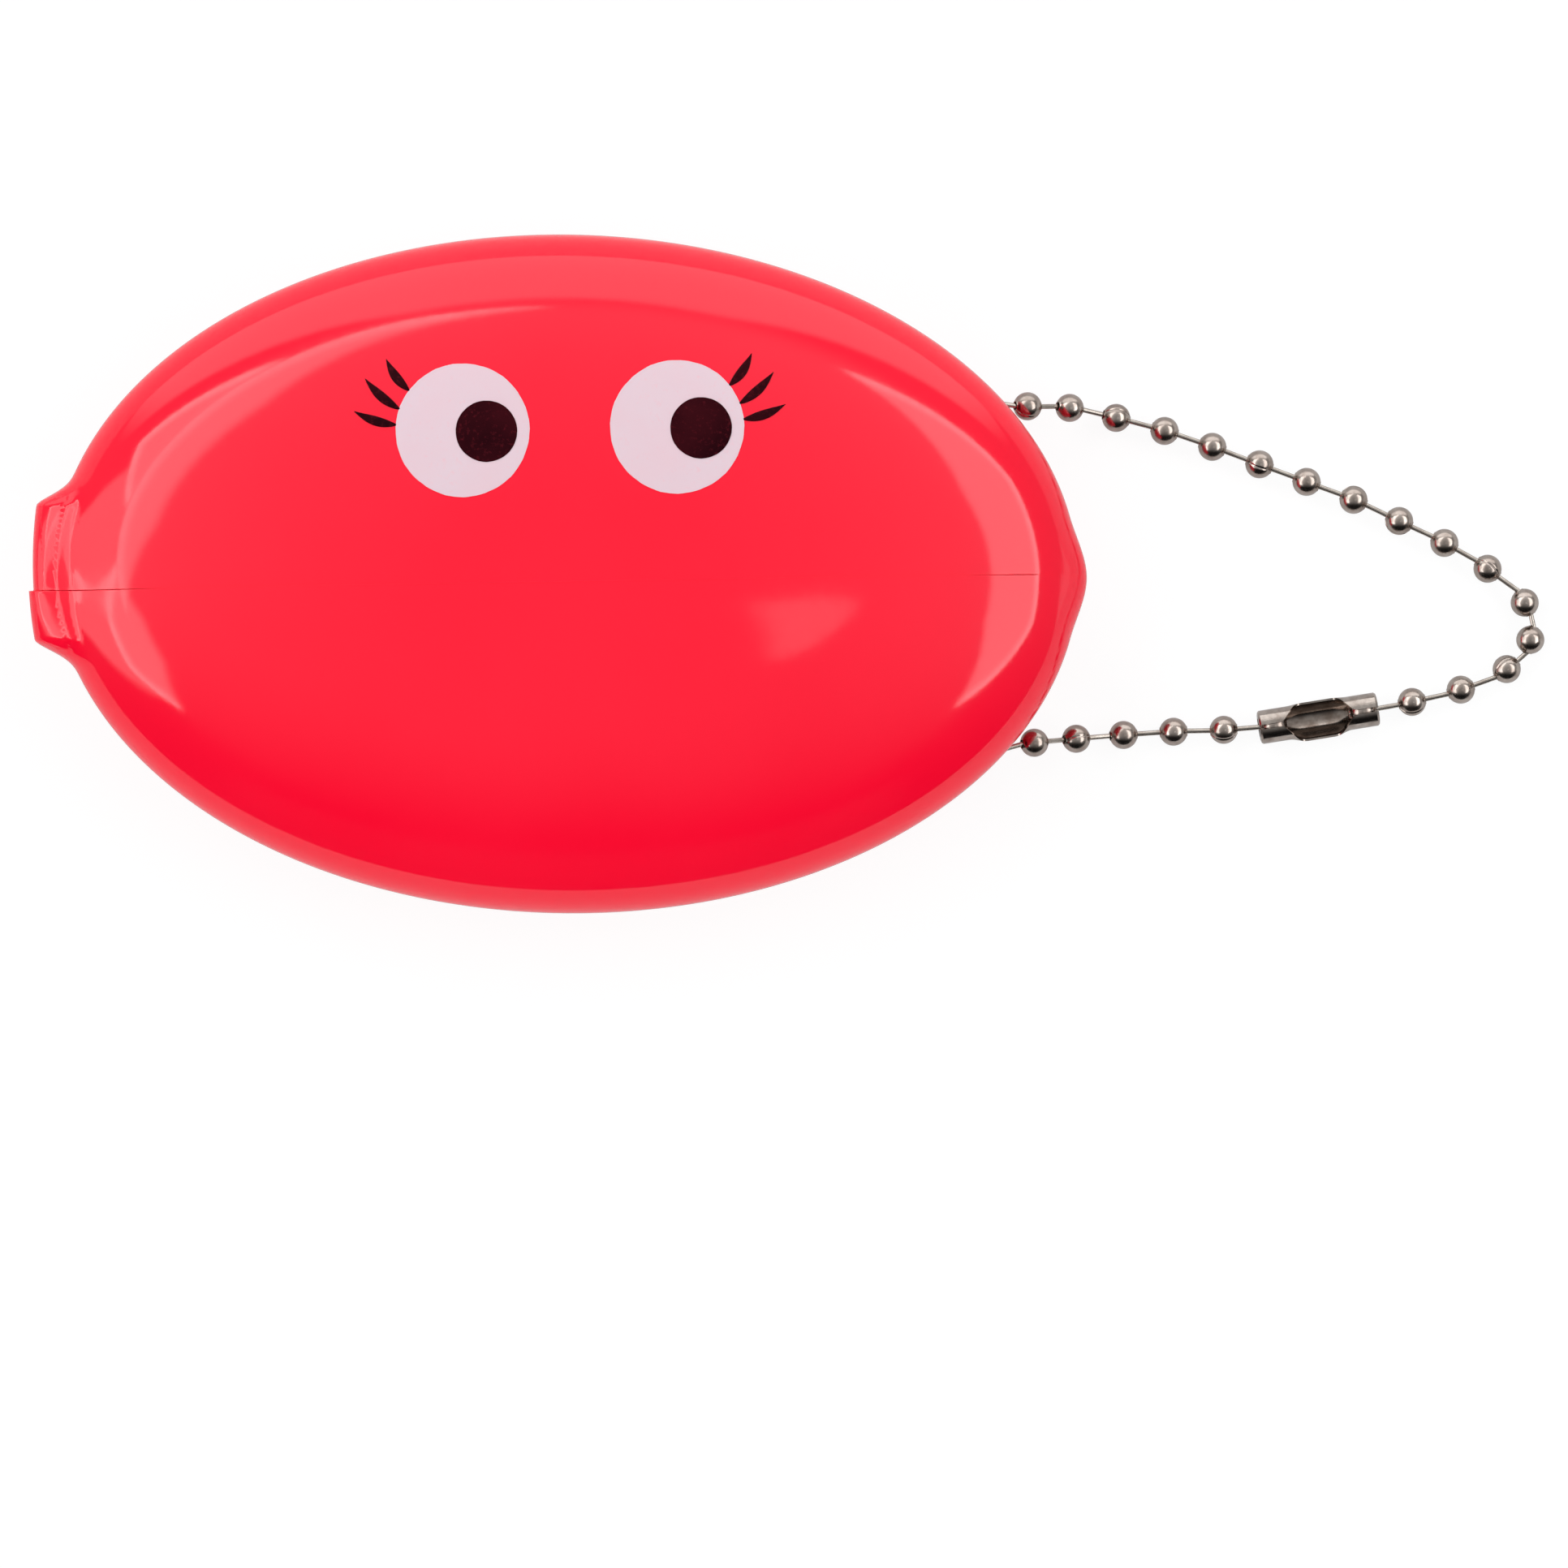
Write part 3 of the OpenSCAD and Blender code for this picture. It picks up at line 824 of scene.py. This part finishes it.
def connectorPiece():
    held = longBeads[-1] - shortBeads[-1]
    middle = (longBeads[-1] + shortBeads[-1]) / 2
    half = np.linalg.norm(held) / 2 + sleeve["endFace"]
    radius, mouth = sleeve["radius"], sleeve["mouth"]
    end = [(half, mouth), (half, mouth + 0.3), (half - 0.05, radius - 0.12), (half - 0.2, radius)]
    straight = [(s, radius) for s in np.linspace(half - 0.5, -half + 0.5, 72)]
    profile = end + straight + [(-s, r) for s, r in reversed(end)]
    shapes = []
    for depth in (0.0, sleeve["sheet"]):
        for s, r in profile:
            window = smooth((sleeve["windowFrom"] - abs(s)) / (sleeve["windowFrom"] - sleeve["windowTo"]))
            closed = 180 - math.degrees(sleeve["slot"] / radius)
            reach = closed + (sleeve["openAt"] - closed) * window
            inset = depth * (half - 0.5 * sleeve["sheet"]) / half if abs(s) > half - 0.1 else 0.0
            place = s - math.copysign(inset, s)
            for v in np.linspace(-1, 1, sleeve["columns"] + 1):
                angle = v * reach
                flare = sleeve["flareNear"] if angle < 0 else sleeve["flareFar"]
                lift = flare * float(smooth((abs(angle) - 45) / 55)) * float(smooth((2.7 - abs(s)) / 1.5))
                size = r + lift - (depth if abs(s) <= half - 0.1 else 0.0)
                a = math.radians(angle)
                shapes.append((place, size * math.sin(a), -size * math.cos(a)))
    columns, rows = sleeve["columns"] + 1, len(profile)
    inner = rows * columns
    faces = gridFaces(rows, columns, 0)
    # the inner sheet takes the second, darker metal: painted shade inside the sleeve
    slots = [0] * len(faces) + [1] * len(faces)
    faces += [tuple(reversed(f)) for f in gridFaces(rows, columns, inner)]
    for i in range(rows - 1):
        for j in (0, columns - 1):
            a, b = i * columns + j, (i + 1) * columns + j
            faces.append((a, b, inner + b, inner + a) if j else (b, a, inner + a, inner + b))
    for j in range(columns - 1):
        for i in (0, rows - 1):
            a, b = i * columns + j, i * columns + j + 1
            faces.append((b, a, inner + a, inner + b) if i else (a, b, inner + b, inner + a))
    along = unit(held)
    across = unit(np.array([-along[1], along[0], 0.0]))
    points = np.array(shapes) @ np.stack([along, across, np.cross(along, across)]) + middle
    slots += [0] * (len(faces) - len(slots))
    piece = makePiece("connector_sleeve", points, faces, [connectorMetal, connectorPaintedShadeInside], slots)
    cleanMesh(piece, 0.0005)
    piece.data.shade_smooth()
    piece.data.set_sharp_from_angle(angle=math.radians(35))
    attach(piece, "connector")
    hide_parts("connector")


# The printed eyes lie on the upper lip

printed = {
    "eyeRadius": 5.6, "pupilRadius": 2.57, "spacing": 17.92, "middle": 0.73, "rise": 12.76,
    "pupilShift": (2.0, -0.13),
    "ink": 0.03, "sink": 0.02,     # above and below the vinyl
    # start and end round the eye in degrees, and how far out the tip is
    "lashes": ((37.5, 44.0, 8.8), (19.5, 29.0, 9.3), (5.5, 11.0, 9.25)),
    "lashWidth": 0.792, "lashBow": 0.22, "lashTuck": 0.02,
}


def inPlan(points):
    # from the print's own axes, along and across the slit, to the purse's plan
    return slitMid + points[..., :1] * slitAlong + points[..., 1:] * slitAcross


def printPiece(name, patches, lift, material, node):
    parts, heights = [], []
    for rings, middle in patches:
        sheet = inPlan(np.concatenate(rings + [np.array([middle])]))
        surface = onFace(sheet, 1)
        normal = outwards(sheet, surface[:, 2], 1)
        top = surface + lift * normal
        bottom = surface - printed["sink"] * normal
        count, columns = len(rings), len(rings[0])
        upper = gridFaces(count, columns, 0, closed=True)
        last = (count - 1) * columns
        upper += [(last + j, last + (j + 1) % columns, count * columns) for j in range(columns)]
        start = len(top)
        lower = [tuple(start + i for i in reversed(f)) for f in upper]
        edge = [((j + 1) % columns, j, start + j, start + (j + 1) % columns) for j in range(columns)]
        parts.append((np.concatenate([top, bottom]), upper + lower + edge))
        heights += [surface[:, 2], surface[:, 2]]
    points, faces = joinShapes(parts)
    piece = makePiece(name, points, faces, [material])
    piece.data.shade_smooth()
    mesh = piece.data
    exact = normalsAt(points, 1)
    corners = []
    for polygon in mesh.polygons:
        for loop in polygon.loop_indices:
            vertex = mesh.loops[loop].vertex_index
            onTop = np.array(polygon.normal) @ exact[vertex] > 0.9
            corners.append(tuple(exact[vertex]) if onTop else (0, 0, 0))
    mesh.normals_split_custom_set(corners)
    bendWithLip(piece)
    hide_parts(node)


def discPatch(middle, radius, rings, columns):
    turns = np.linspace(0, 2 * math.pi, columns, endpoint=False)
    # the edge of the ink is slightly uneven
    rough = 1 + 0.0022 * np.sin(7 * turns + 1) + 0.0018 * np.sin(23 * turns)
    rough = rough + 0.0012 * np.sin(41 * turns + 2)
    edge = radius * rough[:, None] * np.stack([np.cos(turns), np.sin(turns)], axis=-1)
    return [middle + edge * (1 - i / rings) for i in range(rings)], middle


def lashPatch(base, tip, bow):
    way = unit(tip - base)
    side = np.array([-way[1], way[0]])
    steps = np.linspace(0, 1, 15)
    full = 0.16 + 0.84 * np.sin(math.pi * steps ** 0.85)
    half = printed["lashWidth"] / 2 * full * np.sqrt(np.maximum(1 - steps ** 6, 0))
    line = base + steps[:, None] * (tip - base) + (bow * 4 * steps * (1 - steps))[:, None] * side
    outline = np.concatenate([line + half[:, None] * side, (line - half[:, None] * side)[::-1]])
    spine = np.concatenate([line, line[::-1]])
    middle = line[len(line) // 2]
    rings = [outline, spine + (outline - spine) * 0.5,
             middle + (spine - middle) * 0.5 + (outline - spine) * 0.15]
    return rings, middle


def buildPrints():
    for side, word in ((-1, "left"), (1, "right")):
        eye = np.array([printed["middle"] + side * printed["spacing"] / 2, printed["rise"]])
        printPiece(word + "_eye_print", [discPatch(eye, printed["eyeRadius"], 16, 96)],
                   printed["ink"], whiteInk, word + "_eye")
        pupil = eye + np.array(printed["pupilShift"])
        printPiece(word + "_pupil_print", [discPatch(pupil, printed["pupilRadius"], 9, 72)],
                   2 * printed["ink"], blackInk, word + "_pupil")
        lashes = []
        for start, end, reach in printed["lashes"]:
            a, b = math.radians(start), math.radians(end)
            foot = printed["eyeRadius"] - printed["lashTuck"]
            base = eye + foot * np.array([side * math.cos(a), math.sin(a)])
            tip = eye + reach * np.array([side * math.cos(b), math.sin(b)])
            lashes.append(lashPatch(base, tip, side * -printed["lashBow"]))
        printPiece(word + "_lashes_print", lashes, 1.5 * printed["ink"], blackInk,
                   word + "_lashes")


def cutWallHoles(piece):
    # the chain goes in through two round holes
    for at, other in ((longBeads[0], longBeads[1]), (shortBeads[0], shortBeads[1])):
        cutter = bpy.data.objects.new("cutter", bpy.data.meshes.new("cutter"))
        bpy.context.scene.collection.objects.link(cutter)
        work = bmesh.new()
        bmesh.ops.create_cone(work, cap_ends=True, segments=48, radius1=chain["wallHole"] * mm,
                              radius2=chain["wallHole"] * mm, depth=8 * mm)
        work.to_mesh(cutter.data)
        work.free()
        way = Vector(unit(other - at)).to_track_quat("Z", "Y").to_matrix().to_4x4()
        cutter.data.transform(Matrix.Translation(Vector(at) * mm) @ way)
        cutter.data.materials.append(vinyl)
        cutter.data.materials.append(vinylInside)
        cutter.data.polygons.foreach_set("material_index", [1] * len(cutter.data.polygons))
        hole = piece.modifiers.new("hole", "BOOLEAN")
        hole.operation = "DIFFERENCE"
        hole.solver = "EXACT"
        hole.object = cutter
        depsgraph = bpy.context.evaluated_depsgraph_get()
        cut = bpy.data.meshes.new_from_object(piece.evaluated_get(depsgraph))
        piece.modifiers.clear()
        piece.data = cut
        bpy.data.objects.remove(cutter)


def buildPurse():
    lipSkin("upper_lip_skin", 1, "upper_lip")
    lipSkin("lower_lip_skin", -1, "lower_lip")
    back = backSkin()
    cutWallHoles(back)
    shadeByForm(back, 0)
    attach(back, "purse_back")
    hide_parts("back_shell")


buildPurse()
print("Moulding built")
buildPrints()
print("Eyes printed")
buildChain()
connectorPiece()
print("Chain built")


# Floor, world and lamps

studio = {
    # the floor's share of even white, as the camera sees it and as a gloss or glass does
    "floorColour": (0.64, 0.64, 0.64, 1), "floorLevel": 1.12, "floorSeen": 0.8, "floorGloss": 0.2,
    "floorSize": 3.0,          # metres from the middle to each side
    "diffuseLevel": 0.91,      # what the world gives to surfaces, next to what it gives to reflections
    # radiance near the horizon, at its brightest half way up, and overhead
    "sky": (0.36, 0.85, 0.43),
    # in degrees: name, middle, half widths to the right and to the left of it as one looks out, share of
    # them at full height, where the ends meet, top, bottom, softness below and above, share that fades out;
    # then the radiance of the panel and of its lower edge
    "panels": (
        ("right", 6, 42, 56, 0.4, 44, 52, 27.5, 1.5, 3, 0.06, 3.0, 5.5),
        ("leftHigh", 150, 58, 45, 0.35, 42.5, 53, 40.5, 1.5, 5, 0.06, 2.8, 4.5),
        ("leftLow", 147, 26, 16, 0.02, 40, 46, 27, 1.6, 5, 0.06, 2.8, 5.5),
        ("farLeft", 200, 24, 18, 0.3, 41, 49, 32, 1.6, 5, 0.06, 2.7, 5.5),
        ("backWall", 92, 62, 62, 0.25, 12, 39, -30, 4, 6, 0.45, 1.75, 1.75),
        ("leftWall", 180, 32, 36, 0.35, 38, 41, 4, 9, 4, 0.2, 1.9, 1.0),
        ("rightWall", 0, 30, 30, 0.1, -8, 5, -30, 2, 2, 0.06, 1.1, 1.1),
        ("lamp", -4, 42, 5, 0.1, 79.5, 84, 75, 1, 4, 0.3, 1.6, 1.6),
    ),
    # from the dark side, without a highlight: azimuth, elevation, distance, width and height (metres),
    # radiance
    "fill": (-90, 18, 1.2, 1.6, 0.8, 2.1),
}


def softbox(name, azimuth, elevation, distance, width, height, radiance):
    data = bpy.data.lights.new(name, "AREA")
    data.shape = "RECTANGLE"
    data.size = width
    data.size_y = height
    data.energy = radiance * math.pi * width * height
    lamp = bpy.data.objects.new(name, data)
    bpy.context.scene.collection.objects.link(lamp)
    a, e = math.radians(azimuth), math.radians(elevation)
    away = Vector((math.cos(a) * math.cos(e), math.sin(a) * math.cos(e), math.sin(e)))
    lamp.location = away * distance
    lamp.rotation_mode = "QUATERNION"
    lamp.rotation_quaternion = away.to_track_quat("Z", "Y")
    lamp.visible_glossy = False


def seenShare(tree, straight, reflected):
    # one share for rays straight from the camera, another for those from a gloss or through glass
    path = tree.nodes.new("ShaderNodeLightPath")
    through = calc(tree, "MAXIMUM", path.outputs["Is Glossy Ray"], path.outputs["Is Transmission Ray"])
    total = calc(tree, "MULTIPLY", through, reflected)
    return calc(tree, "MAXIMUM", total, calc(tree, "MULTIPLY", path.outputs["Is Camera Ray"], straight))


def buildFloor():
    size = studio["floorSize"]
    mesh = bpy.data.meshes.new("floor")
    corners = [(-size, -size, 0), (size, -size, 0), (size, size, 0), (-size, size, 0)]
    mesh.from_pydata(corners, [], [(0, 1, 2, 3)])
    floor = bpy.data.objects.new("floor", mesh)
    bpy.context.scene.collection.objects.link(floor)
    material = bpy.data.materials.new("floorPaper")
    material.use_nodes = True
    tree = material.node_tree
    tree.nodes.clear()
    paper = tree.nodes.new("ShaderNodeBsdfDiffuse")
    paper.inputs["Color"].default_value = studio["floorColour"]
    glow = tree.nodes.new("ShaderNodeEmission")
    glow.inputs["Strength"].default_value = studio["floorLevel"]
    mix = tree.nodes.new("ShaderNodeMixShader")
    end = tree.nodes.new("ShaderNodeOutputMaterial")
    tree.links.new(seenShare(tree, studio["floorSeen"], studio["floorGloss"]), mix.inputs[0])
    tree.links.new(paper.outputs[0], mix.inputs[1])
    tree.links.new(glow.outputs[0], mix.inputs[2])
    tree.links.new(mix.outputs[0], end.inputs["Surface"])
    mesh.materials.append(material)


panelSockets = ("Middle", "Half Right", "Half Left", "Shoulder", "Meet", "Top", "Bottom", "Soft Below",
                "Soft Above", "Fading", "Radiance", "Edge Radiance")


def buildPanelGroup():
    # a lens-shaped panel of light in the sky, brightest along its lower edge
    group, start, end = newGroup(
        "lightPanel",
        [(label, "NodeSocketFloat", 0.0) for label in ("Azimuth", "Elevation") + panelSockets],
        [("Radiance", "NodeSocketFloat")])
    given = start.outputs
    height = given["Elevation"]
    apart = calc(group, "SUBTRACT", given["Azimuth"], given["Middle"])
    apart = calc(group, "WRAP", apart, 180.0, -180.0)
    rightShare = calc(group, "DIVIDE", calc(group, "MULTIPLY", apart, -1.0), given["Half Right"])
    share = calc(group, "MAXIMUM", rightShare, calc(group, "DIVIDE", apart, given["Half Left"]))
    full = ramp(group, share, 1.0, given["Shoulder"])
    low = ramp(group, full, 0.0, 1.0, given["Meet"], given["Bottom"])
    high = ramp(group, full, 0.0, 1.0, given["Meet"], given["Top"])
    masks = [ramp(group, full, 0.0, given["Fading"], eased=True)]
    for gap, label in ((calc(group, "SUBTRACT", height, low), "Soft Below"),
                       (calc(group, "SUBTRACT", high, height), "Soft Above")):
        half = calc(group, "MULTIPLY", given[label], 0.5)
        masks.append(ramp(group, gap, calc(group, "MULTIPLY", half, -1.0), half, eased=True))
    edge = ramp(group, calc(group, "SUBTRACT", height, low), 5.0, 0.5, eased=True)
    level = ramp(group, edge, 0.0, 1.0, given["Radiance"], given["Edge Radiance"])
    for mask in masks:
        level = calc(group, "MULTIPLY", level, mask)
    group.links.new(level, end.inputs["Radiance"])
    return group


def buildWorld():
    world = bpy.data.worlds.new("studio")
    world.use_nodes = True
    bpy.context.scene.world = world
    tree = world.node_tree
    background = tree.nodes["Background"]
    background.inputs["Color"].default_value = (1, 1, 1, 1)
    place = tree.nodes.new("ShaderNodeTexCoord")
    split = tree.nodes.new("ShaderNodeSeparateXYZ")
    tree.links.new(place.outputs["Generated"], split.inputs[0])
    azimuth = calc(tree, "DEGREES", calc(tree, "ARCTAN2", split.outputs[1], split.outputs[0]))
    elevation = calc(tree, "DEGREES", calc(tree, "ARCSINE", split.outputs[2]))
    # dimmer overhead, fading out towards the dark side
    horizon, brightest, overhead = studio["sky"]
    light = ramp(tree, elevation, 34.0, 46.0, horizon, brightest, eased=True)
    light = calc(tree, "MULTIPLY", light, ramp(tree, elevation, 48.0, 84.0, 1.0, overhead / brightest))
    light = calc(tree, "MULTIPLY", light, ramp(tree, split.outputs[1], -0.75, 0.08, 0.03, 1.0, eased=True))
    panelGroup = buildPanelGroup()
    for settings in studio["panels"]:
        panel = tree.nodes.new("ShaderNodeGroup")
        panel.node_tree = panelGroup
        panel.label = settings[0]
        feed(tree, panel.inputs["Azimuth"], azimuth)
        feed(tree, panel.inputs["Elevation"], elevation)
        for label, value in zip(panelSockets, settings[1:]):
            feed(tree, panel.inputs[label], float(value))
        light = calc(tree, "MAXIMUM", light, panel.outputs["Radiance"])
    path = tree.nodes.new("ShaderNodeLightPath")
    dimmed = ramp(tree, path.outputs["Is Diffuse Ray"], 0.0, 1.0, 1.0, studio["diffuseLevel"])
    given = calc(tree, "MULTIPLY", light, dimmed)
    level = ramp(tree, path.outputs["Is Camera Ray"], 0.0, 1.0, given, 1.0)
    tree.links.new(level, background.inputs["Strength"])


buildFloor()
buildWorld()
softbox("fill", *studio["fill"])
bpy.context.scene.view_settings.view_transform = "Standard"
print("Studio lit")
